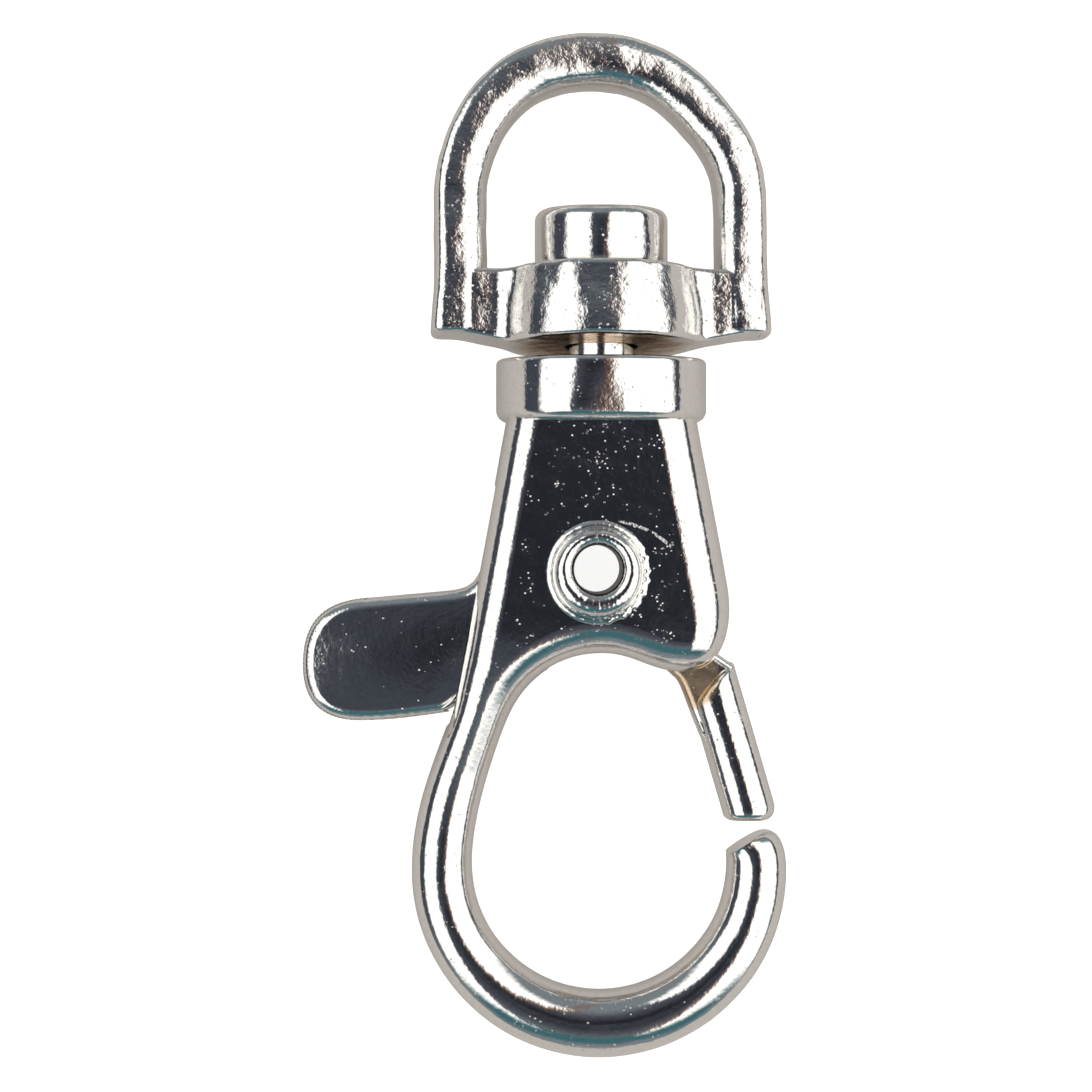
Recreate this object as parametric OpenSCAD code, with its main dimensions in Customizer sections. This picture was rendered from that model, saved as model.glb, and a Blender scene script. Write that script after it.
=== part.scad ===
// Swivel lobster clasp for a key ring or a bag strap, lying on its back.
//
// The clasp is drawn in its own frame and laid down at the end. The hook lies in the XY plane
// with the swivel axis along +Y and +Z out of its front face. The origin is on the swivel axis,
// level with the pivot rivet. The hook and its collar are one casting, forked for the lever.

/* [Hook loop] */
// Inner diameter of the loop
loop_d = 9.45; // [7:0.05:12]
// Distance from the rivet down to the centre of the loop
loop_drop = 10.8; // [10:0.1:15]
// Width of the loop's bar at its sides
bar_w = 2.25; // [1.6:0.05:3]
// Width of the loop's bar at the toe
toe_w = 2.5; // [1.8:0.05:3.4]
// Thickness of the loop's bar, front to back
bar_t = 2.7; // [1.8:0.1:3.6]
// Width of the loop's bar at its root, below the thumb tab
root_bar = 1.86; // [1.6:0.02:2.4]
// Height that the tip's bevel climbs from the inner side to the point
tip_bevel = 0.95; // [0.4:0.05:1.2]

/* [Body] */
// Thickness of the flat body, front to back
body_t = 5; // [4.4:0.1:6]
// Width of the body where it meets the collar
neck_w = 6.95; // [5.5:0.05:7.2]
// Distance from the swivel axis to the body's side beside the gate
hip_w = 4.72; // [4.4:0.02:5.6]
// Distance from the swivel axis to the body's side at the root of the loop
root_w = 5.4; // [5.1:0.05:6.2]
// Distance from the rivet down to the top of the arch over the loop
arch_drop = 3.05; // [2.9:0.05:3.4]
// Distance from the rivet down to the lip beside the gate
lip_drop = 3.75; // [3.4:0.05:4.2]
// Radius that rounds the long edges of the body and the loop
edge_r = 1.1; // [0.5:0.05:1.3]
// Slope of the side walls from the parting line, in degrees
draft = 4; // [0:0.5:8]

/* [Collar] */
// Diameter of the collar
collar_d = 7.82; // [7.7:0.02:10]
// Height of the collar
collar_h = 2.35; // [1.9:0.05:4]
// Distance from the rivet up to the foot of the collar
collar_y = 5.55; // [5.2:0.05:9]
// Radius of the collar's rounded edges
collar_edge = 0.4; // [0.1:0.05:0.7]

/* [Swivel stud] */
// Diameter of the stud's shank
shank_d = 2.38; // [1.8:0.02:3]
// Depth of the shank in the collar
shank_seat = 1.5; // [0.8:0.1:1.7]
// Diameter of the stud's head
head_d = 4.94; // [4.2:0.02:6]
// Height of the stud's head
head_h = 2.05; // [1.2:0.05:3.5]
// Radius of the head's rounded rim
head_edge = 0.45; // [0.1:0.05:0.6]

/* [Swivel ring] */
// Outer width of the ring
ring_w = 12.3; // [11.8:0.1:18]
// Width of the ring's bar, seen from the front
ring_bar = 1.85; // [1.5:0.05:2.2]
// Depth of the ring's bar, front to back
ring_t = 2.3; // [1.6:0.05:3.2]
// Clear height of the eye, from the base bar to the arch
eye_h = 7; // [5.8:0.05:12]
// Diameter of the boss that turns on the stud
boss_d = 7.4; // [6.4:0.1:7.6]
// Height of the boss
boss_h = 2.8; // [2.2:0.05:4]
// Radius of the fillets between the boss and the base bar
boss_fillet = 0.8; // [0.3:0.1:1.2]
// Height that the base bar's underside stands above the boss's
foot_lift = 0.4; // [0:0.05:0.8]
// How far the base bar's foot spreads past the ring's side
foot_flare = 0.18; // [0:0.02:0.4]
// Gap between the collar and the boss
neck_gap = 0.46; // [0.44:0.02:2]
// Radius that rounds the ring's bar
ring_edge = 0.7; // [0.3:0.05:0.75]

/* [Gate lever] */
// Thickness of the lever between the two cheeks
lever_t = 1.9; // [1.7:0.05:2.4]
// Radius of the lever's hub round the rivet
hub_r = 2.5; // [2.4:0.02:2.56]
// Distance from the rivet out to the end of the thumb tab
tab_reach = 10.9; // [9:0.1:14]
// Distance from the rivet's level down to the top edge of the thumb tab
tab_top = 0.68; // [0.5:0.02:1]
// Height of the thumb tab
tab_h = 4.5; // [4:0.05:4.6]
// Radius of the lever's rounded rim
tab_edge = 0.4; // [0.1:0.05:0.6]
// How far the lever swings open, in degrees
open_angle = 25; // [10:1:28]

/* [Gate bar] */
// Width of the gate bar
gate_w = 1.95; // [1.7:0.05:2.3]
// Thickness of the gate bar, front to back
gate_t = 2.6; // [2:0.1:3.4]
// Radius that rounds the long edges of the gate bar
gate_edge_r = 0.8; // [0.3:0.05:0.8]
// Radius of the outer corner at the gate bar's end
gate_corner = 0.6; // [0.2:0.05:0.8]
// Slant of the gate bar from the swivel axis, in degrees
gate_slant = 16.2; // [14:0.2:19]
// Distance from the rivet out to the shoulder of the gate bar
shoulder_r = 5.95; // [5.9:0.05:6.4]
// Distance between the gate bar's end and the point of the hook
gate_gap = 0.3; // [0.2:0.02:1]

/* [Pivot rivet] */
// How far the rivet sits to the left of the swivel axis
rivet_offset = 0.15; // [0:0.05:0.3]
// Outer diameter of the rivet's tube
rivet_d = 2.6; // [2.2:0.05:2.7]
// Diameter of the hole through the rivet
rivet_bore = 1.82; // [1:0.02:2]
// Diameter of the rivet's rolled rim
rim_d = 4.04; // [3.4:0.02:4.4]
// Height of the rolled rim above the cheek
rim_h = 0.5; // [0.3:0.05:0.8]

/* [Gate spring] */
// Diameter of the spring's wire
spring_wire = 0.28; // [0.2:0.02:0.3]
// Outer diameter of the spring's coil
coil_d = 3.7; // [3.5:0.05:3.8]
// Turns that the spring makes, apart from its legs
spring_turns = 3; // [2:1:3]
// Height that the spring's fixed leg reaches into the body
spring_leg = 3.3; // [3:0.1:3.6]

/* [Fits] */
// Clearance between the lever and each cheek
cheek_gap = 0.08; // [0.04:0.01:0.15]
// Clearance between the lever's hub and its slot
slot_gap = 0.12; // [0.08:0.01:0.16]
// Radial clearance of a turning bore on its pin
turn_gap = 0.05; // [0.03:0.01:0.09]
// Radial clearance of a pin in the hole that holds it
seat_gap = 0.01; // [0.005:0.005:0.02]

/* [Lying] */
// How far the ring tips back on the stud, in degrees
ring_lean = 5; // [0:0.5:6]
// How far the ring is turned about the stud, in degrees
ring_turn = 4; // [0:1:15]

/* [Hidden] */
$fn = 96;
nickel = [0.78, 0.78, 0.76];
steel = [0.6, 0.61, 0.63];

// Overlap that makes joined solids one, and the reach of a cut past the face that it opens
bite = 0.4;
past = 1;

// Step that keeps two joined surfaces from lying in one plane
seam = 0.04;

// Facets in a quarter of a small rounded edge, and of a broader corner
rim_steps = 4;
corner_steps = 5;
quarter_turn = 90;
half_turn = 180;
full_turn = 360;

// Loop: its bar widens from the sides to the toe, so the two circles have their own centres
pivot = [-rivet_offset, 0];
loop_r = loop_d / 2;
loop_shift = -0.08;
loop_c = [loop_shift, -loop_drop];
toe_y = loop_c.y - loop_r - toe_w;
loop_out_r = loop_r + bar_w;
loop_out_c = [loop_c.x, toe_y + loop_out_r];

// Gate bar: its centre line leaves the rivet's level this far right and runs down to the tip
gate_dir = [sin(gate_slant), -cos(gate_slant)];
gate_side = [cos(gate_slant), sin(gate_slant)];
gate_foot = [3.57, -2.2];

// Tip of the hook: the point lies two thirds of the way across the bar
tip_share = 2 / 3;
tip_rise = 1.3;
tip_point = [loop_c.x + loop_r + bar_w * tip_share, loop_c.y + tip_rise];
tip_inner_angle = asin((tip_point.y - tip_bevel - loop_c.y) / loop_r);
gate_end_y = tip_point.y + gate_gap;

// Body outline: the straight sides run from the neck to the root and to the hip
neck_y = collar_y + bite;
root_drop = 4.5;
arch_lag = 1.08;
arch_shift = 0.05;
lip_out = 3.1;
hip_drop = 0.6;
neck_left = [-neck_w / 2, neck_y];
neck_right = [neck_w / 2, neck_y];
root_left = [-root_w, -root_drop];
arch_root = [root_left.x + root_bar, root_left.y - arch_lag];
arch_top = [arch_shift, -arch_drop];
lip = [lip_out, -lip_drop];
hip = [hip_w, -hip_drop];

// Thickness of the casting: full on the body, thinning below it to the bar of the loop
thick_to = -2;
thin_from = -9.6;

// Lever: edges that point at the rivet, as angles about it
arm_high = 166;
arm_low = 224.5;
web_inner = -75;
web_outer = -33;
slot_play = 1.2;
slot_relief = 17;
slot_t = lever_t + 2 * cheek_gap;
slot_reach = norm(root_left) + past;

// Thumb tab: its top and its underside fall away from the body to the rounded end
tab_end = pivot.x - tab_reach;
tab_corner = 2.15;
tab_fall = 0.3;
tab_sag = 0.17;
tab_heel = [-4.32, 0.85];
tab_root = [-5.5, -tab_top];
tab_shoulder = [tab_end + tab_corner, -tab_top - tab_fall];
tab_sole = [tab_end + tab_corner, tab_shoulder.y - tab_h];
tab_bottom = [-5.75, tab_sole.y + tab_fall];
tab_tip = [tab_end, (tab_shoulder.y + tab_sole.y) / 2 - tab_sag];
tab_inner = 3.3;
tab_outer = 4.3;
arm_reach = 4;
arm_play = 4;

// Web between the hub and the gate bar: the elbow, the bend and the end of its inner edge
hub_core = hub_r - 2 * tab_edge;
web_elbow = [2.8, -3.98];
web_bend = [3.2, -5.1];
web_tip = [3.62, -6.25];

// Spring in the hub's pocket
coil_r = (coil_d - spring_wire) / 2;
coil_spread = 1.15;
coil_pitch = spring_wire * coil_spread;
leg_start = half_turn;
leg_end = 125;
coil_sweep = full_turn * spring_turns - leg_start + leg_end;
coil_floor = -slot_t / 2 + turn_gap + spring_wire / 2;
coil_rise = coil_pitch * coil_sweep / full_turn;
lever_leg = 1.65;
pocket_r = coil_d / 2 + slot_gap + turn_gap;
pocket_top = coil_floor + coil_rise + spring_wire / 2 + turn_gap;

// Swivel ring, drawn about the middle of its boss
collar_top = collar_y + collar_h;
boss_y = collar_top + neck_gap + boss_h / 2;
arch_mid_r = (ring_w - ring_bar) / 2;
arch_y = boss_h / 2 + eye_h - ring_w / 2 + ring_bar;
ring_rise = arch_y + ring_w / 2;
shank_r = shank_d / 2;
boss_bore = 2 * (shank_r / cos(ring_lean) + boss_h / 2 * tan(ring_lean) + turn_gap);
head_y = boss_y + boss_h / 2 / cos(ring_lean) + head_d / 2 * tan(ring_lean) + turn_gap;

// Lying: the clasp rests on the collar's lower edge and the toe of the loop
rest_collar = [collar_y + collar_edge, collar_edge - collar_d / 2];
flat_min = 0.15;
toe_edge = min(edge_r, toe_w / 2 - flat_min);
rest_toe = [toe_y + toe_edge, toe_edge - bar_t / 2];
rest_span = rest_collar - rest_toe;
rest_pitch = atan2(-rest_span.y, rest_span.x) - asin((toe_edge - collar_edge) / norm(rest_span));
rest_lift = toe_edge - rest_toe.x * sin(rest_pitch) - rest_toe.y * cos(rest_pitch);
top_y = boss_y + ring_rise * cos(ring_lean);
top_z = -ring_rise * sin(ring_lean);
rest_x = -(tab_end + loop_out_c.x + loop_out_r) / 2;
rest_y = -(toe_y * cos(rest_pitch) + top_y * cos(rest_pitch) - top_z * sin(rest_pitch)) / 2;

function unit(v) = v / norm(v);
function polar(c, r, a) = c + r * [cos(a), sin(a)];
function arc(c, r, from, to, n) = [for (i = [0:n]) polar(c, r, from + (to - from) * i / n)];
function line(a, b, n) = [for (i = [0:n]) a + (b - a) * i / n];
function curve(p, n) = [
    for (i = [0:n])
        let (t = i / n, u = 1 - t)
            u * u * u * p[0] + 3 * u * u * t * p[1] + 3 * u * t * t * p[2] + t * t * t * p[3]
];
function tail(list) = [for (i = [1:len(list) - 1]) list[i]];
function chain(lists) = [for (k = [0:len(lists) - 1]) each (k == 0 ? lists[k] : tail(lists[k]))];

// Unit normal to the left of the way that an open path runs at point i
function left_of(path, i) =
    let (way = unit(path[min(i + 1, len(path) - 1)] - path[max(i - 1, 0)]))
        [-way.y, way.x];

// Half thickness of the hook casting at height y
function ease(t) = t * t * (3 - 2 * t);
function hook_half(y) =
    let (t = min(1, max(0, (y - thin_from) / (thick_to - thin_from))))
        (bar_t + (body_t - bar_t) * ease(t)) / 2;

// Rounded edge as [inset, drop] pairs, from the flat face to the drafted side wall
function edge_steps(r, half, n) = [
    for (k = [0:n])
        let (a = quarter_turn * k / n)
            [(half - r) * tan(draft) + r * (1 - sin(a)), r * (1 - cos(a))]
];

// Section of a bar between edge point p and edge point q, whose inward normals are np and nq
function bar_section(p, np, q, nq, edge, half, shrink, n) =
    let (
        room = norm(q - p) / 2 - (half(p.y) - edge) * tan(draft) - flat_min,
        r = min(edge, room),
        side_p = [
            for (s = edge_steps(r, half(p.y), n))
                let (at = p + np * (s[0] + shrink)) [at.x, at.y, half(at.y) - shrink - s[1]]
        ],
        side_q = [
            for (s = edge_steps(r, half(q.y), n))
                let (at = q + nq * (s[0] + shrink)) [at.x, at.y, half(at.y) - shrink - s[1]]
        ],
        mid_p = p + np * shrink,
        mid_q = q + nq * shrink
    )
    concat(
        [[mid_q.x, mid_q.y, 0]],
        [for (k = [n:-1:0]) side_q[k]],
        side_p,
        [[mid_p.x, mid_p.y, 0]],
        [for (k = [n:-1:0]) [side_p[k].x, side_p[k].y, -side_p[k].z]],
        [for (k = [0:n]) [side_q[k].x, side_q[k].y, -side_q[k].z]]
    );

// Closed skin over a row of sections, with flat ends
module skin(rings) {
    m = len(rings[0]);
    last = len(rings) - 1;
    half = m / 2 - 1;
    sides = [
        for (i = [0:last - 1], j = [0:m - 1])
            let (a = i * m + j, b = i * m + (j + 1) % m)
                each [[a, b, b + m], [a, b + m, a + m]]
    ];
    cap = [
        for (j = [0:half])
            each [
                if (j < half) [j, m - j - 1, j + 1],
                if (j > 0) [j, m - j, m - j - 1]
            ]
    ];
    far = [for (f = cap) [for (v = [2, 1, 0]) f[v] + last * m]];
    polyhedron([for (r = rings) each r], concat(sides, cap, far), convexity = 8);
}

// Bar between two edge paths. near and far shrink its first and last sections, to round the ends
module bar(outer, inner, edge, half, near, far) {
    steps = 4;
    last = len(outer) - 1;
    skin([
        for (i = [0:last])
            bar_section(
                outer[i], left_of(outer, i) * -1,
                inner[i], left_of(inner, i),
                edge, half,
                i < len(near) ? near[i] : last - i < len(far) ? far[last - i] : 0,
                steps
            )
    ]);
}

// Plate of an even thickness with a rounded rim, from a closed outline that runs anticlockwise
module rounded_plate(outline, thickness, edge) {
    steps = 3;
    m = len(outline);
    ways = [for (i = [0:m - 1]) unit(outline[(i + 1) % m] - outline[(i + m - 1) % m])];
    rim = [
        for (k = [0:steps])
            let (a = quarter_turn * k / steps)
                [edge * (1 - sin(a)), edge * (1 - cos(a))]
    ];
    levels = concat(
        [for (k = [0:steps]) [rim[k][0], rim[k][1] - thickness / 2]],
        [for (k = [steps:-1:0]) [rim[k][0], thickness / 2 - rim[k][1]]]
    );
    points = [
        for (l = levels, i = [0:m - 1])
            let (at = outline[i] + l[0] * [-ways[i].y, ways[i].x])
                [at.x, at.y, l[1]]
    ];
    sides = [
        for (k = [0:len(levels) - 2], i = [0:m - 1])
            let (a = k * m + i, b = k * m + (i + 1) % m)
                each [[a, b + m, b], [a, a + m, b + m]]
    ];
    top = [for (i = [m - 1:-1:0]) (len(levels) - 1) * m + i];
    polyhedron(points, concat([[for (i = [0:m - 1]) i]], sides, [top]), convexity = 8);
}

// Slice of a disc about the rivet, h thick and centred on the lever's plane
module sector(r, from, to, h) {
    translate([pivot.x, pivot.y, -h / 2])
        rotate([0, 0, from])
            rotate_extrude(angle = to - from)
                square([r, h]);
}

// Cylinder about the rivet's axis
module on_pivot(r, from, to) {
    translate([pivot.x, pivot.y, from])
        cylinder(r = r, h = to - from);
}

// Solid of revolution about the swivel axis, from points of radius and height
module on_swivel(profile) {
    rotate([-quarter_turn, 0, 0])
        rotate_extrude()
            polygon(profile);
}

// Edges of the hook from the tip, round the loop and up to the neck
tip_steps = 4;
loop_steps = 32;
leg_steps = 8;
arch_steps = 8;
lip_steps = 6;
hip_steps = 8;
side_steps = 3;
loop_right = loop_out_c + [loop_out_r, 0];
loop_left = loop_out_c - [loop_out_r, 0];
inner_left = loop_c - [loop_r, 0];
root_way = unit(root_left - neck_left);
arch_way = [0.37, 0.93];

// Reach of the handles that bend the edges into one another
tip_pull = [0.42, -0.32];
side_pull = [0, 0.75];
leg_pull = [0, 2.85];
root_pull = 1.75;
shin_pull = [0, 1.6];
knee_pull = 1.55;
arch_rise_pull = 1.9;
arch_left_pull = [1.45, 0];
arch_right_pull = [1.15, 0];
lip_in_pull = [1.3, 0];
lip_out_pull = [1.4, 0];
hip_pull = [0.23, -1.5];
left_marks = [0, 0.49, 0.67, 0.83, 1];
function left_side(k, n) =
    let (reach = neck_left - root_left)
        line(root_left + reach * left_marks[k], root_left + reach * left_marks[k + 1], n);

hook_outer = chain([
    curve([tip_point, tip_point + tip_pull, loop_right + side_pull, loop_right], tip_steps),
    arc(loop_out_c, loop_out_r, 0, -half_turn, loop_steps),
    curve([loop_left, loop_left + leg_pull, root_left + root_way * root_pull, root_left], leg_steps),
    left_side(0, arch_steps),
    left_side(1, lip_steps),
    left_side(2, hip_steps),
    left_side(3, side_steps)
]);
hook_inner = chain([
    arc(loop_c, loop_r, tip_inner_angle, 0, tip_steps),
    arc(loop_c, loop_r, 0, -half_turn, loop_steps),
    curve([
        inner_left, inner_left + shin_pull, arch_root - arch_way * knee_pull, arch_root
    ], leg_steps),
    curve([
        arch_root, arch_root + arch_way * arch_rise_pull, arch_top - arch_left_pull, arch_top
    ], arch_steps),
    curve([arch_top, arch_top + arch_right_pull, lip - lip_in_pull, lip], lip_steps),
    curve([lip, lip + lip_out_pull, hip + hip_pull, hip], hip_steps),
    line(hip, neck_right, side_steps)
]);

module collar() {
    r = collar_d / 2;
    e = collar_edge;
    on_swivel(concat(
        [[0, collar_y]],
        arc([r - e, collar_y + e], e, -quarter_turn, 0, rim_steps),
        arc([r - e, collar_top - e], e, 0, quarter_turn, rim_steps),
        [[0, collar_top]]
    ));
}

// Fork between the cheeks: room for the hub, the swing of the thumb tab and of the gate
module lever_slot() {
    on_pivot(hub_r + slot_gap, -slot_t / 2, slot_t / 2);
    sector(slot_reach, arm_high - open_angle - slot_play, arm_low + slot_play, slot_t);
    sector(shoulder_r, web_inner - open_angle - slot_relief, web_outer + slot_play, slot_t);
}

// Groove in the roof of the fork that holds the spring's fixed leg
module spring_notch() {
    w = spring_wire + 2 * turn_gap;
    low = coil_floor - w / 2;
    translate([pivot.x - coil_r - w / 2, 0, low])
        cube([w, spring_leg + turn_gap, w]);
}

module hook_body() {
    color(nickel)
        difference() {
            union() {
                bar(hook_outer, hook_inner, edge_r, function (y) hook_half(y), [0.1], []);
                collar();
            }
            lever_slot();
            spring_notch();
            on_pivot(rivet_d / 2 + seat_gap, -body_t, body_t);
            on_swivel([
                [0, collar_top - shank_seat - turn_gap],
                [shank_r + seat_gap, collar_top - shank_seat - turn_gap],
                [shank_r + seat_gap, collar_top + past],
                [0, collar_top + past]
            ]);
        }
}

// Thumb tab from above, out from its arm along the top and back along its underside
heel_steps = 3;
end_steps = 8;
heel_pull = [-0.1, -1.3];
tab_root_pull = [0.6, 0.06];
shoulder_pull = [1.5, 0.17];
tip_high_pull = [0, 1.4];
tip_low_pull = [0, 1.29];
sole_out_pull = [1.5, 0];
sole_in_pull = [1, -0.02];
bottom_pull = [0.8, 0.12];
tab_outline = chain([
    [polar(pivot, tab_inner, arm_high + arm_play), tab_heel],
    curve([tab_heel, tab_heel + heel_pull, tab_root + tab_root_pull, tab_root], heel_steps),
    [tab_root, tab_shoulder],
    curve([tab_shoulder, tab_shoulder - shoulder_pull, tab_tip + tip_high_pull, tab_tip], end_steps),
    curve([tab_tip, tab_tip - tip_low_pull, tab_sole - sole_out_pull, tab_sole], end_steps),
    curve([tab_sole, tab_sole + sole_in_pull, tab_bottom - bottom_pull, tab_bottom], rim_steps),
    [tab_bottom, polar(pivot, tab_outer, arm_low), polar(pivot, tab_inner, arm_low - arm_play)]
]);

// Web from above, out along its inner edge and back along its outer one
elbow_pull = [0.3, -0.37];
web_outline = concat(
    [polar(pivot, hub_core, web_inner)],
    curve([web_elbow, web_elbow + elbow_pull, web_bend, web_tip], rim_steps),
    [
        web_tip + [gate_w / 3, 0],
        polar(pivot, shoulder_r + bite / 2, web_outer - slot_play),
        polar(pivot, hub_core, web_outer - slot_play)
    ]
);

// Gate bar from above: one corner of its end is rounded, and its shoulder clears the lip
gate_half = gate_w / 2;
gate_long = (gate_foot.y - gate_end_y + gate_half) / -gate_dir.y;
gate_low = gate_foot + gate_dir * (gate_end_y - gate_foot.y) / gate_dir.y;
corner_inset = 1.35;
gate_corner_c = gate_low + [gate_half / gate_side.x - gate_corner * corner_inset, gate_corner];
gate_outline = concat(
    [gate_low + [-gate_w, 0]],
    arc(gate_corner_c, gate_corner, -quarter_turn, gate_slant, corner_steps),
    [gate_foot + gate_side * gate_w, gate_foot - gate_side * gate_w]
);

module gate_bar() {
    difference() {
        intersection() {
            translate(gate_foot)
                rotate([quarter_turn, 0, gate_slant])
                    linear_extrude(gate_long)
                        polygon(rounded_box(gate_w, gate_t, gate_edge_r));
            translate([0, 0, -gate_t])
                linear_extrude(2 * gate_t)
                    polygon(gate_outline);
        }
        on_pivot(shoulder_r, -gate_t, gate_t);
    }
}

module lever_plate() {
    hub_half = lever_t / 2 + seam / 2;
    difference() {
        union() {
            rounded_plate(tab_outline, lever_t, tab_edge);
            sector(arm_reach, arm_high, arm_low, lever_t - seam);
            translate([0, 0, -lever_t / 2])
                linear_extrude(lever_t)
                    polygon(web_outline);
            on_pivot(hub_r, -hub_half, hub_half);
        }
        on_pivot(pocket_r, -lever_t, pocket_top);
        spring_relief();
    }
}

// Ways out of the hub's pocket: a swept gap for the fixed leg and a groove for the moving one
module spring_relief() {
    w = spring_wire + 2 * turn_gap;
    leg_top = coil_floor + w / 2;
    low = leg_top - slot_t;
    near = acos(coil_r / hub_r);
    relief_play = 6;
    translate([0, 0, low + slot_t / 2])
        sector(hub_r + past, half_turn - near - relief_play, arm_high - slot_play, slot_t);
    translate([pivot.x, pivot.y, 0])
        rotate([0, 0, leg_end])
            translate([coil_r - w / 2, 0, -lever_t])
                cube([w, lever_leg + turn_gap, lever_t + coil_floor + coil_rise + w / 2]);
}

module gate_lever() {
    color(nickel)
        difference() {
            union() {
                lever_plate();
                gate_bar();
            }
            on_pivot(rivet_d / 2 + turn_gap, -body_t, body_t);
        }
}

// Torsion spring: a coil round the rivet with one leg in the body and one in the lever
function coil_point(a) =
    [
        pivot.x + coil_r * cos(a),
        pivot.y + coil_r * sin(a),
        coil_floor + coil_rise * (a - leg_start) / coil_sweep
    ];
turn_steps = 22;
coil_steps = turn_steps * spring_turns;
spring_route = concat(
    [coil_point(leg_start) + [0, spring_leg, 0]],
    [for (i = [0:coil_steps]) coil_point(leg_start + coil_sweep * i / coil_steps)],
    [coil_point(leg_start + coil_sweep) + lever_leg * [-sin(leg_end), cos(leg_end), 0]]
);

module gate_spring() {
    sides = 8;
    last = len(spring_route) - 1;
    color(steel)
        skin([
            for (i = [0:last])
                let (
                    way = unit(spring_route[min(i + 1, last)] - spring_route[max(i - 1, 0)]),
                    across = unit(cross(way, [0, 0, 1])),
                    up = cross(across, way)
                )
                    [
                        for (k = [0:sides - 1])
                            let (a = full_turn * k / sides)
                                spring_route[i] + spring_wire / 2 * (cos(a) * across + sin(a) * up)
                    ]
        ]);
}

// Hollow rivet: a tube whose two ends are rolled out over the cheeks
module pivot_rivet() {
    bore = rivet_bore / 2;
    roll = (rim_d / 2 - bore) / 2;
    face = body_t / 2;
    roll_steps = 14;
    rim = [
        for (i = [0:roll_steps])
            let (a = half_turn * i / roll_steps)
                [bore + roll * (1 + cos(a)), face + rim_h * sin(a)]
    ];
    half = concat([[rivet_d / 2, 0], [rivet_d / 2, face]], rim, [[bore, 0]]);
    color(nickel)
        translate([pivot.x, pivot.y, 0])
            for (flip = [0, 1])
                mirror([0, 0, flip])
                    rotate_extrude()
                        polygon(half);
}

// Rounded rectangle, as a closed outline
function rounded_box(w, h, r) = [
    for (k = [0:3])
        let (
            side = [k == 0 || k == 3 ? 1 : -1, k < 2 ? 1 : -1],
            from = quarter_turn * k
        )
            each arc(
                [side.x * (w / 2 - r), side.y * (h / 2 - r)],
                r, from, from + quarter_turn, corner_steps
            )
];

// Quarter of the base seen from above: the rounded end of the bar and the fillet into the boss
foot_w = ring_w / 2 + foot_flare;
foot_half = (ring_t + foot_flare) / 2;
fillet_root = boss_d / 2 - seam;
base_fillet_x = sqrt(pow(fillet_root + boss_fillet, 2) - pow(foot_half + boss_fillet, 2));
base_fillet_c = [base_fillet_x, foot_half + boss_fillet];
base_fillet_a = atan2(base_fillet_c.y, base_fillet_c.x);
base_quarter = concat(
    [[0, 0], [foot_w, 0]],
    arc([foot_w - ring_edge, foot_half - ring_edge], ring_edge, 0, quarter_turn, corner_steps),
    arc(base_fillet_c, boss_fillet, -quarter_turn, base_fillet_a - half_turn, rim_steps),
    [[0, fillet_root * sin(base_fillet_a)]]
);

// Base of the ring: the boss, and the bar that widens to its feet and stops short of its underside
module ring_base() {
    bar_top = boss_h / 2 - seam;
    bar_low = foot_lift - boss_h / 2;
    rotate([quarter_turn, 0, 0])
        cylinder(d = boss_d, h = boss_h, center = true);
    intersection() {
        translate([0, bar_top, 0])
            rotate([quarter_turn, 0, 0])
                linear_extrude(boss_h)
                    for (mx = [0, 1], my = [0, 1])
                        mirror([mx, 0])
                            mirror([0, my])
                                polygon(base_quarter);
        translate([0, 0, -boss_d / 2])
            linear_extrude(boss_d)
                polygon([
                    [-foot_w, bar_low], [foot_w, bar_low],
                    [ring_w / 2 + seam, boss_h / 2], [-ring_w / 2 - seam, boss_h / 2]
                ]);
    }
}

module ring_bow() {
    bar_outline = rounded_box(ring_bar, ring_t, ring_edge);
    translate([0, arch_y, 0])
        rotate_extrude(angle = half_turn)
            translate([arch_mid_r, 0])
                polygon(bar_outline);
    for (side = [-1, 1])
        translate([side * arch_mid_r, arch_y, 0])
            rotate([quarter_turn, 0, 0])
                linear_extrude(arch_y - boss_h / 2 + bite)
                    polygon(bar_outline);
}

module swivel_ring() {
    color(nickel)
        translate([0, boss_y, 0])
            rotate([-ring_lean, 0, 0])
                difference() {
                    union() {
                        ring_bow();
                        ring_base();
                    }
                    rotate([quarter_turn, 0, 0])
                        cylinder(d = boss_bore, h = boss_h + past, center = true);
                }
}

// Stud: shank pressed into the collar, and the head that keeps the ring on
module swivel_stud() {
    foot = collar_top - shank_seat;
    top = head_y + head_h;
    r = head_d / 2;
    color(nickel)
        on_swivel(concat(
            [[0, foot], [shank_r, foot], [shank_r, head_y], [r, head_y]],
            arc([r - head_edge, top - head_edge], head_edge, 0, quarter_turn, corner_steps),
            [[0, top]]
        ));
}

// Lays the clasp down on the collar and the toe, over the origin
module lying() {
    translate([rest_x, rest_y, rest_lift])
        rotate([rest_pitch, 0, 0])
            children();
}

lying() hook_body();
lying() gate_lever();
lying() gate_spring();
lying() pivot_rivet();
lying() rotate([0, ring_turn, 0]) swivel_ring();
lying() swivel_stud();
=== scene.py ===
import cmath
from math import atan2, cos, degrees, exp, hypot, pi, radians, sin, sqrt, tan

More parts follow.
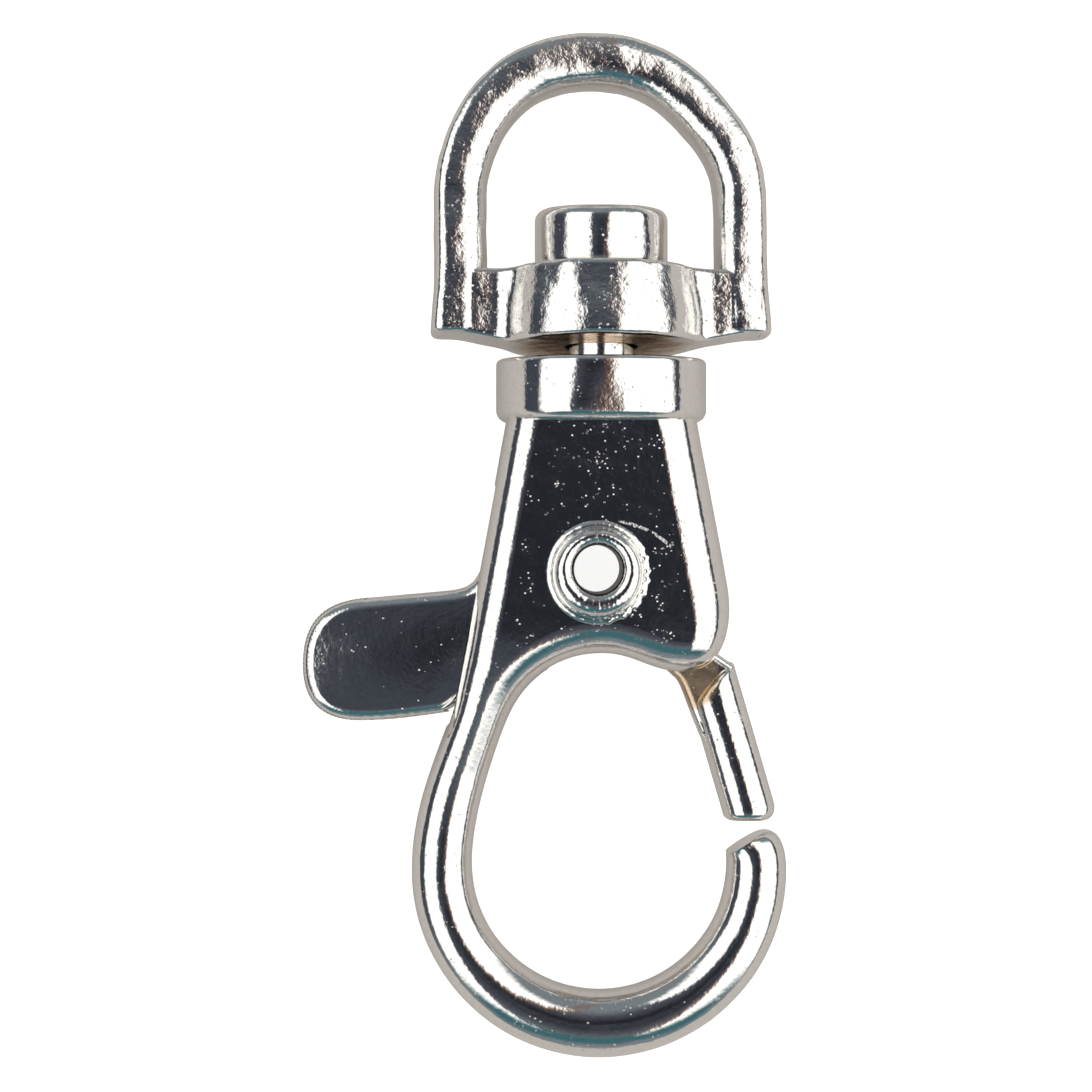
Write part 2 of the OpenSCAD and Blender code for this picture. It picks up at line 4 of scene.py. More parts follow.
import bpy
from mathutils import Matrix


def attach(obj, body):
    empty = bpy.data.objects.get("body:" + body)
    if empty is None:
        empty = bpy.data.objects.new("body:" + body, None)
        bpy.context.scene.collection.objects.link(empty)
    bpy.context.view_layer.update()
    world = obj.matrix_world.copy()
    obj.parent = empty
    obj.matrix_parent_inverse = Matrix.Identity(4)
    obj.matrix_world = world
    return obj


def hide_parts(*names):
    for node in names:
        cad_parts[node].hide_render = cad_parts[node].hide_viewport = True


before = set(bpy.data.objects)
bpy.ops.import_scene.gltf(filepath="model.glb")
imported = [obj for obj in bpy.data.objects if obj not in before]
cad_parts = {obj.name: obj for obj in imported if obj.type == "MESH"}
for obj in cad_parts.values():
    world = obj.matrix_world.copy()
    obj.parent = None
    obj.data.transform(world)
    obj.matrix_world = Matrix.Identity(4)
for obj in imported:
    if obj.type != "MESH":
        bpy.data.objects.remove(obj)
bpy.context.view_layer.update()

# Hook: a zinc casting, with the loop, the flat body and the collar in one, forked for the lever.
# It is tumbled smooth and plated with bright nickel. Lengths are in millimetres, in the clasp's
# own frame: swivel axis along +Y, front face to +Z. Points of the flat outline are x + y * 1j.
rivet_at = -0.15 + 0j
loop_centre, loop_radius = -0.08 - 10.8j, 4.725
loop_outer_centre, loop_outer_radius = -0.08 - 11.05j, 6.975
tip, tip_angle, tip_edge = 6.145 - 9.5j, 4.25, 0.2
neck_left, neck_right = -3.475 + 5.95j, 3.505 + 5.95j
root_left = -5.4 - 4.5j
arch_root, arch_way = -3.54 - 5.58j, 0.37 + 0.93j
arch_top, lip, hip = 0.05 - 3.05j, 3.1 - 3.75j, 4.72 - 0.6j
body_half, loop_half = 2.5, 1.35
thin_from, thick_to = -9.6, -2.0
draft, edge_land, least_flat = tan(radians(4)), 0.03, 0.06
outer_edge, inner_edge, hip_edge = 1.12, 1.1, 0.35
collar_foot, collar_top, collar_radius, collar_core = 5.55, 7.9, 3.91, 2.6
collar_foot_edge, collar_rim_edge = 0.45, 0.22
stud_hole, stud_seat, hook_bore, through = 1.2, 6.35, 1.31, 4
hub_radius, slot_gap, slot_half, slot_reach = 2.5, 0.12, 1.03, 8.03
arm_high, arm_low, web_inner, web_outer = 166, 224.5, -75, -33
open_angle, slot_play, slot_relief, shoulder = 25, 1.2, 17, 5.95
along_swivel = (-pi / 2, 0, 0)
rest_pitch = radians(6.37477)
rest_place = (0.0020775, -0.00101658, 0.00322766)


def unit(way):
    return way / abs(way)


def arc(centre, radius, start, end, steps):
    turn = (end - start) / steps
    return [centre + cmath.rect(radius, radians(start + turn * i)) for i in range(steps + 1)]


def straight(start, end, steps):
    return [start + (end - start) * i / steps for i in range(steps + 1)]


def bent(a, b, c, d, steps):
    path = []
    for i in range(steps + 1):
        t, u = i / steps, 1 - i / steps
        path.append(u * u * u * a + 3 * u * u * t * b + 3 * u * t * t * c + t * t * t * d)
    return path


def joined(*paths):
    return [point for k, path in enumerate(paths) for point in path[min(k, 1):]]


def pairs(path):
    return [(point.real, point.imag) for point in path]


def left_of(path, i):
    return unit(path[min(i + 1, len(path) - 1)] - path[max(i - 1, 0)]) * 1j


def smooth(value, low, high):
    t = min(1, max(0, (value - low) / (high - low)))
    return t * t * (3 - 2 * t)


def alone(piece):
    """Makes the piece the one selected and active object."""
    bpy.ops.object.select_all(action="DESELECT")
    piece.select_set(True)
    bpy.context.view_layer.objects.active = piece


def loft(name, sections, closed=False):
    """Skin over a row of sections: a grid, with one row of its points laid on each section."""
    rows = sections + sections[:1] if closed else sections
    bpy.ops.object.select_all(action="DESELECT")
    bpy.ops.mesh.primitive_grid_add(x_subdivisions=len(rows[0]), y_subdivisions=len(rows) - 1)
    piece = bpy.context.object
    piece.name = name
    points = [value for row in rows for point in row + row[:1] for value in point]
    piece.data.vertices.foreach_set("co", points)
    bpy.ops.object.mode_set(mode="EDIT")
    bpy.ops.mesh.select_all(action="SELECT")
    bpy.ops.mesh.remove_doubles(threshold=0.0001)
    bpy.ops.mesh.fill_holes(sides=0)
    bpy.ops.mesh.select_all(action="SELECT")
    bpy.ops.mesh.normals_make_consistent(inside=False)
    bpy.ops.object.mode_set(mode="OBJECT")
    return piece


def turned(name, profile, closed=False, around=128):
    """Turns a profile of (radius, height) points: a circle, extruded and resized at each step."""
    fill = "NOTHING" if closed else "NGON"
    radius, height = profile[0]
    bpy.ops.object.select_all(action="DESELECT")
    bpy.ops.mesh.primitive_circle_add(
        vertices=around, radius=radius, location=(0, 0, height), fill_type=fill
    )
    piece = bpy.context.object
    piece.name = name
    bpy.ops.object.transform_apply(location=True, rotation=False, scale=False)
    bpy.ops.object.mode_set(mode="EDIT")
    bpy.ops.mesh.select_all(action="SELECT")
    for next_radius, next_height in profile[1:]:
        bpy.ops.mesh.extrude_region_move(
            TRANSFORM_OT_translate={"value": (0, 0, next_height - height)}
        )
        grow = next_radius / radius
        bpy.ops.transform.resize(value=(grow, grow, 1), center_override=(0, 0, 0))
        radius, height = next_radius, next_height
    if closed:
        bpy.ops.mesh.select_all(action="DESELECT")
        bpy.ops.mesh.select_non_manifold()
        bpy.ops.mesh.bridge_edge_loops()
    bpy.ops.mesh.select_all(action="SELECT")
    bpy.ops.mesh.normals_make_consistent(inside=False)
    bpy.ops.object.mode_set(mode="OBJECT")
    return piece


def moved(piece, place=(0, 0, 0), turn=(0, 0, 0), size=1.0):
    """Moves the piece's mesh, and leaves its object at the origin."""
    alone(piece)
    piece.location, piece.rotation_euler, piece.scale = place, turn, (size, size, size)
    bpy.ops.object.transform_apply(location=True, rotation=True, scale=True)
    return piece


def applied(piece, kind, **settings):
    """Adds a modifier to the piece and applies it."""
    alone(piece)
    step = piece.modifiers.new(kind.lower(), kind)
    for name, value in settings.items():
        setattr(step, name, value)
    bpy.ops.object.modifier_apply(modifier=step.name)


def combined(piece, other, operation):
    """Joins two closed pieces or cuts one from the other, and removes the second one."""
    applied(piece, "BOOLEAN", operation=operation, solver="EXACT", object=other)
    bpy.data.objects.remove(other)


def waved(piece, size, depth):
    """Leaves the slow unevenness of a casting that was polished by tumbling."""
    clouds = bpy.data.textures.new(piece.name + "_unevenness", "CLOUDS")
    clouds.noise_scale, clouds.noise_depth = size, 1
    applied(
        piece, "DISPLACE", texture=clouds, texture_coords="LOCAL", strength=depth, mid_level=0.5
    )


def rod(radius, low, high, centre=rivet_at, around=128):
    """Round bar along Z, for a hub or a bored hole."""
    piece = turned("rod", [(radius, low), (radius, high)], around=around)
    return moved(piece, (centre.real, centre.imag, 0))


def wedge(radius, start, end, half):
    """Slice of a disc about the rivet, from one angle to the other."""
    piece = turned("wedge", [(radius, -half), (radius, half)], around=160)
    bpy.ops.object.mode_set(mode="EDIT")
    for angle, keep in ((start, 1), (end, -1)):
        bpy.ops.mesh.select_all(action="SELECT")
        side = cmath.rect(keep, radians(angle + 90))
        bpy.ops.mesh.bisect(
            plane_co=(0, 0, 0), plane_no=(side.real, side.imag, 0), use_fill=True, clear_inner=True
        )
    bpy.ops.object.mode_set(mode="OBJECT")
    return moved(piece, (rivet_at.real, rivet_at.imag, 0))


def laid(piece, sharp=30):
    """Shades the piece and lays it down as the clasp comes to rest, in metres."""
    alone(piece)
    bpy.ops.object.shade_smooth_by_angle(angle=radians(sharp))
    return moved(piece, rest_place, (rest_pitch, 0, 0), 0.001)


def hook_half(y):
    return loop_half + (body_half - loop_half) * smooth(y, thin_from, thick_to)


def bar_side(at, inward, radius, half):
    """One side of a bar's section, from mid depth up round its edge and a little way on."""
    steps = 9
    lean = (half(at.imag) - radius) * draft
    points, drops = [at], [half(at.imag)]
    for k in range(steps, -1, -1):
        a = pi / 2 * k / steps
        points.append(at + inward * (lean + radius * (1 - sin(a))))
        drops.append(radius * (1 - cos(a)))
    points.append(points[-1] + inward * edge_land)
    drops.append(0)
    return [(p.real, p.imag, max(0, half(p.imag) - d)) for p, d in zip(points, drops)]


def bar_section(p, p_in, q, q_in, p_radius, q_radius, half):
    """Closed section of a bar between its edge points p and q, the same in front and behind."""
    room = abs(q - p) / 2 - (half(p.imag) - p_radius) * draft - least_flat
    near = bar_side(q, q_in, min(q_radius, room), half)
    far = bar_side(p, p_in, min(p_radius, room), half)
    upper = near + far[::-1]
    lower = [(x, y, -z) for x, y, z in upper[::-1][1:-1]]
    return upper + lower


def bar(name, outer, inner, p_radius, q_radius, half):
    """Bar between two edge paths. Its sections turn square to the first one near their start."""
    sections = []
    for i, (p, q) in enumerate(zip(outer, inner)):
        square, free = unit(q - p), smooth(i, 0, 10)
        p_in = unit(square * (1 - free) - left_of(outer, i) * free)
        q_in = unit(left_of(inner, i) * free - square * (1 - free))
        sections.append(
            bar_section(p, p_in, q, q_in, p_radius(p.imag), q_radius(q.imag), half)
        )
    return loft(name, sections)


loop_right = loop_outer_centre + loop_outer_radius
loop_left = loop_outer_centre - loop_outer_radius
root_way = unit(root_left - neck_left)
marks = [root_left + (neck_left - root_left) * share for share in (0, 0.49, 0.67, 0.83, 1)]
tip_steps, loop_steps, leg_steps = 14, 110, 30
arch_steps, lip_steps, hip_steps, side_steps = 26, 18, 26, 10
side_runs = zip(marks, marks[1:], (arch_steps, lip_steps, hip_steps, side_steps))
tip_way = unit(tip - loop_centre - cmath.rect(loop_radius, radians(tip_angle)))
hook_outer = joined(
    bent(
        tip - 0.28 * tip_way, tip + 0.22 * tip_way, loop_right + 1.25j, loop_right, tip_steps
    ),
    arc(loop_outer_centre, loop_outer_radius, 0, -180, loop_steps),
    bent(loop_left, loop_left + 2.85j, root_left + root_way * 1.75, root_left, leg_steps),
    *[straight(*run) for run in side_runs],
)
hook_inner = joined(
    arc(loop_centre, loop_radius, tip_angle, 0, tip_steps),
    arc(loop_centre, loop_radius, 0, -180, loop_steps),
    bent(
        loop_centre - loop_radius, loop_centre - loop_radius + 1.6j,
        arch_root - arch_way * 1.55, arch_root, leg_steps
    ),
    bent(arch_root, arch_root + arch_way * 1.9, arch_top - 1.45, arch_top, arch_steps),
    bent(arch_top, arch_top + 1.15, lip - 1.3, lip, lip_steps),
    bent(lip, lip + 1.4, hip + 0.23 - 1.5j, hip, hip_steps),
    straight(hip, neck_right, side_steps),
)
hook = bar(
    "hook_casting", hook_outer, hook_inner,
    lambda y: outer_edge,
    lambda y: inner_edge + hip_edge * smooth(y, -3.6, -0.6),
    hook_half
)
applied(hook, "BEVEL", width=tip_edge, segments=4, angle_limit=radians(35))
bpy.ops.object.mode_set(mode="EDIT")
bpy.ops.mesh.select_all(action="SELECT")
bpy.ops.mesh.remove_doubles(threshold=0.004)
bpy.ops.mesh.dissolve_degenerate(threshold=0.002)
bpy.ops.object.mode_set(mode="OBJECT")
waved(hook, 2.4, 0.03)

collar_height = collar_top - collar_foot
foot_centre = collar_radius - collar_foot_edge + collar_foot_edge * 1j
rim_centre = collar_radius - collar_rim_edge + (collar_height - collar_rim_edge) * 1j
collar_profile = [(0.5, 0), (collar_core, 0)]
collar_profile += pairs(arc(foot_centre, collar_foot_edge, -90, 0, 8))
collar_profile += [(collar_radius, height) for height in (0.7, 1, 1.3, 1.6, 1.9)]
collar_profile += pairs(arc(rim_centre, collar_rim_edge, 0, 90, 6))
collar_profile += [(collar_core, collar_height)]
collar = turned("collar", collar_profile, around=192)
moved(collar, (0, collar_foot, 0), along_swivel)
for vertex in collar.data.vertices:
    x, y, z = vertex.co
    across = atan2(x, z) - 0.08
    deep = 0.1 - 0.045 * smooth(y, collar_foot, collar_top)
    press = 1 - deep * exp(-(across / 0.46) ** 2) * smooth(hypot(x, z), collar_core, 3.6)
    vertex.co = (x * press, y, z * press)
combined(hook, collar, "UNION")
combined(hook, rod(hub_radius + slot_gap, -slot_half, slot_half), "DIFFERENCE")
combined(
    hook, wedge(slot_reach, arm_high - open_angle - slot_play, arm_low + slot_play, slot_half),
    "DIFFERENCE"
)
combined(
    hook,
    wedge(shoulder, web_inner - open_angle - slot_relief, web_outer + slot_play, slot_half - 0.01),
    "DIFFERENCE"
)
combined(hook, rod(hook_bore, -through, through), "DIFFERENCE")
combined(
    hook, moved(rod(stud_hole, 0, 3, 0j), (0, stud_seat, 0), along_swivel), "DIFFERENCE"
)
laid(hook)


class Wire:
    """A socket in a shader. Arithmetic on wires adds the Math nodes for it."""

    def __init__(self, tree, socket=None):
        self.tree, self.socket = tree, socket

    def node(self, kind, settings, inputs, output=0):
        made = self.tree.nodes.new("ShaderNode" + kind)
        for name, value in settings.items():
            setattr(made, name, value)
        for name, value in inputs.items():
            if isinstance(value, Wire):
                self.tree.links.new(value.socket, made.inputs[name])
            else:
                made.inputs[name].default_value = value
        return Wire(self.tree, made.outputs[output]) if made.outputs else None

    def maths(self, operation, *values):
        return self.node("Math", {"operation": operation}, dict(enumerate(values)))

    def vectors(self, operation, *values, output=0):
        return self.node("VectorMath", {"operation": operation}, dict(enumerate(values)), output)

    def between(self, low, high):
        """Rises smoothly from 0 at low to 1 at high."""
        settings = {"interpolation_type": "SMOOTHSTEP"}
        return self.node("MapRange", settings, {"Value": self, 1: low, 2: high})

    def blend(self, first, second):
        """Mixes two colours, with this wire as the share of the second."""
        return self.node("Mix", {"data_type": "RGBA"}, {0: self, 6: first, 7: second}, 2)

    def __add__(self, other):
        return self.maths("ADD", self, other)

    def __radd__(self, other):
        return self.maths("ADD", other, self)

    def __sub__(self, other):
        return self.maths("SUBTRACT", self, other)

    def __rsub__(self, other):
        return self.maths("SUBTRACT", other, self)

    def __mul__(self, other):
        return self.maths("MULTIPLY", self, other)

    def __abs__(self):
        return self.maths("ABSOLUTE", self)


def nickel(name, lumps=0.5, pocks=0.35, patches=(), painted_gap_shade=None, scratch=None):
    """Bright nickel plate. Lengths are in millimetres of the clasp's own frame. Lumps is how
    uneven the casting under the plate is, and pocks the share of its cells that are pocked.
    Patches are (place, radius) where more pocks lie, and scratch is (place, radius, left, right)
    of a curved scratch in the front and where it ends. The argument after patches is the
    (place, radius) of painted shade: a dull brown tint, with more roughness, that stands in for
    the shade and warm reflection in a gap between parts."""
    made = bpy.data.materials.new(name)
    made.use_nodes = True
    tree = made.node_tree
    tree.nodes.clear()
    start = Wire(tree)
    place = start.node("TexCoord", {}, {}, 3)
    place = place.node(
        "Mapping", {"vector_type": "TEXTURE"},
        {0: place, 1: rest_place, 2: (rest_pitch, 0, 0), 3: (0.001, 0.001, 0.001)}
    )
    rough_here = sum(
        1 - place.vectors("DISTANCE", place, centre, output=1).between(radius * 0.3, radius)
        for centre, radius in patches
    )
    share = rough_here * 0.07 + pocks
    slow = place.node("TexNoise", {}, {"Vector": place, "Scale": 0.9, "Detail": 1.0})
    grain = place.node("TexNoise", {}, {"Vector": place, "Scale": 7.0, "Detail": 4.0})
    crowd = place.node("TexNoise", {}, {"Vector": place, "Scale": 1.6, "Detail": 2.0})
    skin = place.node("TexNoise", {}, {"Vector": place, "Scale": 3.4, "Detail": 3.0})
    height = slow * 0.028 * lumps + grain * 0.0042 * (0.5 + lumps)
    height = height + skin * (rough_here * 0.8 + 0.3 + lumps) * 0.006
    for crowding, size in ((6.5, 0.3), (10.0, 0.36)):
        cells = place.node("TexVoronoi", {}, {"Vector": place, "Scale": crowding})
        colour, middle = (Wire(tree, cells.socket.node.outputs[n]) for n in ("Color", "Position"))
        tilt = colour.vectors("SUBTRACT", colour, (0.5, 0.5, 0.5))
        offset = place.vectors("SUBTRACT", place, middle)
        facet = tilt.vectors("DOT_PRODUCT", tilt, offset, output=1)
        draw = colour.node("SeparateXYZ", {}, {0: colour}, 2)
        chosen = (draw + crowd * 0.8 - 0.4 - (1 - share)).between(-0.03, 0.1)
        height = height + facet * chosen * (1 - cells.between(size * 0.6, size)) * 0.6
    if scratch:
        (x, y), radius, left, right = scratch
        flat = place.vectors("MULTIPLY", place, (1, 1, 0))
        away = flat.vectors("DISTANCE", flat, (x, y, 0), output=1) - radius
        side = place.node("SeparateXYZ", {}, {0: place}, 0)
        line = (1 - abs(away).between(0.02, 0.06)) * grain.between(0.42, 0.6)
        line = line * side.between(left, left + 0.4) * (1 - side.between(right, right + 0.3))
        height = height - line * 0.02
    normal = place.node("Bump", {}, {"Distance": 0.001, "Strength": 1.0, "Height": height})
    shade = grain.between(0.35, 0.7).blend((0.9, 0.885, 0.86, 1), (0.84, 0.82, 0.79, 1))
    rough = crowd.between(0.3, 0.8) * 0.05 + 0.055
    # Painted shade: a dull brown tint that stands in for the shade and warm reflection in a gap
    # between parts; it also raises the roughness there.
    if painted_gap_shade:
        centre, radius = painted_gap_shade
        away = place.vectors("DISTANCE", place, centre, output=1)
        painted_shade_and_dulling = (1 - away.between(radius * 0.75, radius)) * (crowd * 0.5 + 0.6)
        shade = painted_shade_and_dulling.blend(shade, (0.66, 0.47, 0.29, 1))
        rough = rough + painted_shade_and_dulling * 0.22
    shader = place.node("BsdfPrincipled", {}, {
        "Base Color": shade, "Metallic": 1.0, "Roughness": rough, "Normal": normal
    })
    shader.node("OutputMaterial", {}, {"Surface": shader})
    return made


hook.data.materials.append(nickel(
    "nickel_on_hook", lumps=0.5, pocks=0.035,
    patches=[((0.2, 4.4, 2.5), 2.4), ((3.4, 1.5, 2.4), 1.6), ((-0.15, 0, 2.5), 2.8)],
    # The brown tint about the collar's top is painted shade and warm reflection in the gap under
    # the ring's boss.
    painted_gap_shade=((0, 8.1, 0), 3.3), scratch=((0.2, -1.4), 3.29, 0.5, 2.3)
))
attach(hook, "hook")
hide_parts("hook_body")

# Gate lever: one nickel-plated casting that swings on the rivet between the cheeks of the hook.
# Its thumb tab stands out at the left, and its web carries the gate bar that closes the loop.
lever_half, lever_edge, hub_core, lever_bore = 0.95, 0.42, 1.7, 1.35
pocket_radius, pocket_roof, seam, web_edge = 2.02, 0.27, 0.02, 0.3
arm_reach, tab_inner, tab_outer, arm_overlap = 4, 3.3, 4.3, 4
tab_end, tab_corner, tab_top, tab_height, tab_fall = -11.05, 2.15, 0.68, 4.5, 0.3
tab_heel, tab_root = -4.32 + 0.85j, -5.5 - 0.68j
tab_shoulder = tab_end + tab_corner - (tab_top + tab_fall) * 1j
tab_sole = tab_shoulder - tab_height * 1j
tab_bottom = -5.75 + (tab_sole.imag + tab_fall) * 1j
tab_tip = tab_end + ((tab_shoulder.imag + tab_sole.imag) / 2 - 0.17) * 1j
gate_width, gate_half, gate_slant = 1.95, 1.3, radians(16.2)
gate_foot, gate_end = 3.57 - 2.2j, -9.2
gate_top_left, gate_top_right, gate_top_edge = -4.86, -3.16, 0.35
gate_end_edge, gate_outer_corner, gate_inner_corner = 0.4, 0.65, 0.22
gate_outer_round, gate_inner_round, least_depth = 0.95, 0.85, 0.03
web_elbow, web_bend, web_tip = 2.8 - 3.98j, 3.15 - 5.1j, 4.5 - 7.9j


def plate(name, outline, half, edge, steps=6):
    """Flat plate from its outline: a filled circle laid on it, extruded, its two rims rounded."""
    bpy.ops.object.select_all(action="DESELECT")
    bpy.ops.mesh.primitive_circle_add(vertices=len(outline), fill_type="NGON")
    piece = bpy.context.object
    piece.name = name
    for vertex, point in zip(piece.data.vertices, outline):
        vertex.co = (point.real, point.imag, -half)
    bpy.ops.object.mode_set(mode="EDIT")
    bpy.ops.mesh.select_all(action="SELECT")
    bpy.ops.mesh.extrude_region_move(TRANSFORM_OT_translate={"value": (0, 0, 2 * half)})
    bpy.ops.object.mode_set(mode="OBJECT")
    if edge:
        for line in piece.data.edges:
            low, high = (piece.data.vertices[k].co.z for k in line.vertices)
            line.select = low * high > 0
        bpy.ops.object.mode_set(mode="EDIT")
        bpy.ops.mesh.select_mode(type="EDGE")
        bpy.ops.mesh.bevel(offset=edge, segments=steps, profile=0.5, clamp_overlap=False)
        bpy.ops.object.mode_set(mode="OBJECT")
    bpy.ops.object.mode_set(mode="EDIT")
    bpy.ops.mesh.select_all(action="SELECT")
    bpy.ops.mesh.normals_make_consistent(inside=False)
    bpy.ops.object.mode_set(mode="OBJECT")
    return piece


tab_outline = joined(
    [rivet_at + cmath.rect(tab_inner, radians(arm_high + arm_overlap)), tab_heel],
    bent(tab_heel, tab_heel - 0.1 - 1.3j, tab_root + 0.6 + 0.06j, tab_root, 5),
    straight(tab_root, tab_shoulder, 5),
    bent(
        tab_shoulder, tab_shoulder - tab_corner * 0.7 - 0.17j, tab_tip + tab_corner * 0.65j,
        tab_tip, 22
    ),
    bent(tab_tip, tab_tip - tab_corner * 0.6j, tab_sole - tab_corner * 0.7, tab_sole, 22),
    bent(tab_sole, tab_sole + 1 - 0.02j, tab_bottom - 0.8 - 0.12j, tab_bottom, 8),
    [
        tab_bottom, rivet_at + cmath.rect(tab_outer, radians(arm_low + arm_overlap)),
        rivet_at + cmath.rect(tab_inner, radians(arm_low - arm_overlap))
    ],
)
lever = plate("gate_lever_casting", tab_outline, lever_half, lever_edge)
combined(lever, wedge(arm_reach, arm_high, arm_low, lever_half - seam), "UNION")
web_outline = joined(
    [rivet_at + cmath.rect(hub_core, radians(web_inner)), web_elbow],
    bent(web_elbow, web_elbow + 0.3 - 0.37j, web_bend, web_tip, 10),
    [
        web_tip, web_tip + gate_width / 3,
        rivet_at + cmath.rect(shoulder + 0.2, radians(web_outer - slot_play)),
        rivet_at + cmath.rect(hub_core, radians(web_outer - slot_play))
    ],
)
combined(lever, plate("web", web_outline, lever_half - seam / 2, web_edge), "UNION")
combined(lever, rod(hub_radius, -lever_half - seam, lever_half + seam), "UNION")


def eased(height, radius):
    """How far a rounded corner draws in at a height above its end."""
    return radius - sqrt(max(0, radius ** 2 - max(0, radius - height) ** 2))


end_steps = [0, 0.01, 0.03, 0.06, 0.1, 0.15, 0.21, 0.28, 0.36, 0.45, 0.55, 0.66]
gate_run = gate_top_right - gate_end
gate_steps = end_steps + [0.8 + (gate_run - 1.6) * k / 24 for k in range(25)]
gate_steps += [gate_run - step for step in end_steps[::-1]]
gate_sections = []
for step in gate_steps:
    p, q = (
        gate_foot + side * gate_width / 2 / cos(gate_slant)
        + (gate_foot.imag - gate_end - (top - gate_end) * step / gate_run) * (tan(gate_slant) - 1j)
        for side, top in ((1, gate_top_right), (-1, gate_top_left))
    )
    across, top_round = unit(q - p), eased(gate_run - step, gate_top_edge)
    p += across * (eased(step, gate_outer_corner) + top_round)
    q -= across * (eased(step, gate_inner_corner) + top_round)
    depth = gate_half - eased(step, gate_end_edge) - top_round
    round_p = min(gate_outer_round, depth - least_depth)
    round_q = min(gate_inner_round, depth - least_depth)
    gate_sections.append(bar_section(p, across, q, -across, round_p, round_q, lambda y: depth))
gate = loft("gate_bar", gate_sections)
combined(lever, gate, "UNION")
combined(lever, rod(lever_bore, -through, through), "DIFFERENCE")
combined(lever, rod(pocket_radius, -through, pocket_roof), "DIFFERENCE")
laid(lever, 45)
lever.data.materials.append(nickel(
    "nickel_on_lever", lumps=0.5, pocks=0.03,
    patches=[((4.6, -6.2, 1.3), 1.3), ((3.5, -4.2, 1), 1.2), ((-5.7, -2.6, 1), 1)],
    # The brown tint at the web's elbow is painted shade where the lever runs under the hook's lip.
    painted_gap_shade=((3.3, -3.95, 0.9), 1.25)
))
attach(lever, "lever")
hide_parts("gate_lever")

# Gate spring: three turns of round steel wire about the rivet, in the lever's hub. One leg is
# held in the roof of the fork and the other in the lever. It stays with the hook, unwound.
wire_radius, coil_radius, coil_start, coil_end = 0.14, 1.71, 180, 125
coil_floor, coil_rise, fixed_leg, moving_leg = -0.84, 0.9218, 3.3, 1.65
coil_sweep, coil_steps, wire_sides = 3 * 360 - coil_start + coil_end, 144, 12
route = [(rivet_at.real - coil_radius, fixed_leg, coil_floor)]
for i in range(coil_steps + 1):
    turn = coil_start + coil_sweep * i / coil_steps
    at = rivet_at + cmath.rect(coil_radius, radians(turn))
    route.append((at.real, at.imag, coil_floor + coil_rise * i / coil_steps))
leg = at + cmath.rect(moving_leg, radians(coil_end + 90))
route.append((leg.real, leg.imag, route[-1][2]))
coil_rings = []
for i, point in enumerate(route):
    before, after = route[max(i - 1, 0)], route[min(i + 1, len(route) - 1)]
    way = unit(complex(after[0] - before[0], after[1] - before[1]))
    across = way * -1j
    ring = []
    for k in range(wire_sides):
        a = 2 * pi * k / wire_sides
        side = across * wire_radius * cos(a)
        ring.append((point[0] + side.real, point[1] + side.imag, point[2] + wire_radius * sin(a)))
    coil_rings.append(ring)
spring = laid(loft("gate_spring_wire", coil_rings))
spring.data.materials.append(nickel("spring_steel", lumps=0.2, pocks=0.02))
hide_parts("gate_spring")
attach(spring, "hook")

# Pivot rivet: a hollow nickel-plated brass eyelet. Its ends are rolled out over the cheeks by a
# punch, which leaves a rounded roll, a thin skirt round it and small nicks at its edge.
bore, roll, skirt, cheek = 0.88, 0.36, 1.9, 2.5
roll_points = arc(bore + roll + (cheek + 0.1) * 1j, roll, 180, 0, 16)
half_rim = [(bore, cheek - 0.4)] + pairs(roll_points)
half_rim += [(1.64, cheek + 0.08), (1.71, cheek + 0.14), (1.82, cheek + 0.13)]
half_rim += [(skirt, cheek + 0.06)]
half_rim += [(skirt - 0.02, cheek - 0.01), (1.4, cheek - 0.01), (1.3, cheek - 0.06)]
rivet_profile = half_rim + [(r, -h) for r, h in half_rim[::-1]]
rivet = turned("pivot_rivet_eyelet", rivet_profile, closed=True, around=160)
for vertex in rivet.data.vertices:
    x, y, z = vertex.co
    radius, around_rim = hypot(x, y), atan2(y, x)
    torn = smooth(cos(around_rim + 0.5), 0.1, 0.8) * smooth(radius, 1.66, 1.74)
    nick = sin(around_rim * 23 + 2 * sin(around_rim * 3)) + 0.6 * sin(around_rim * 41 + 1)
    grow = 1 + 0.018 * torn * nick
    marked = smooth(abs(sin(around_rim)), 0.6, 0.95)
    dent = 0.004 * sin(around_rim * 37 + 3 * sin(around_rim * 5)) * marked
    dent = (dent + 0.003 * sin(around_rim * 11 + 1)) * smooth(radius, 0.95, 1.2)
    lopsided = 0.12 * (1 - smooth(radius, 1.1, 1.65))
    vertex.co = (
        x * grow, y * grow + lopsided, z + (dent if z > 0 else -dent) * (abs(z) > cheek)
    )
moved(rivet, (rivet_at.real, 0, 0))
laid(rivet, 40)
rivet.data.materials.append(nickel("nickel_on_rivet", lumps=1.2, pocks=0.05))
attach(rivet, "hook")
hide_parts("pivot_rivet")

# Swivel stud: turned, pressed into the collar after the ring is dropped over it, and its head
# keeps the ring on. The head's rim is rounded.
stud_foot, shank, head_foot, head_top = 6.4, 1.19, 11.4314, 13.4814
head_radius, head_edge, under_edge = 2.47, 0.45, 0.14
head_rim = arc(head_radius - head_edge + (head_top - head_edge) * 1j, head_edge, 0, 90, 10)
stud_profile = [(0.6, stud_foot), (shank, stud_foot), (shank, head_foot - 0.1), (1.3, head_foot)]
stud_profile += [(head_radius - 0.12, head_foot), (head_radius - 0.03, head_foot + 0.04)]
stud_profile += [(head_radius, head_foot + under_edge + 0.2 * k) for k in range(7)]
stud_profile += pairs(head_rim) + [(1.2, head_top), (0.3, head_top)]
stud = turned("swivel_stud_turned", stud_profile, around=160)
moved(stud, turn=along_swivel)
waved(stud, 1.6, 0.04)
laid(stud)
stud.data.materials.append(nickel("nickel_on_stud", lumps=0.8, pocks=0.06))
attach(stud, "hook")
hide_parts("swivel_stud")

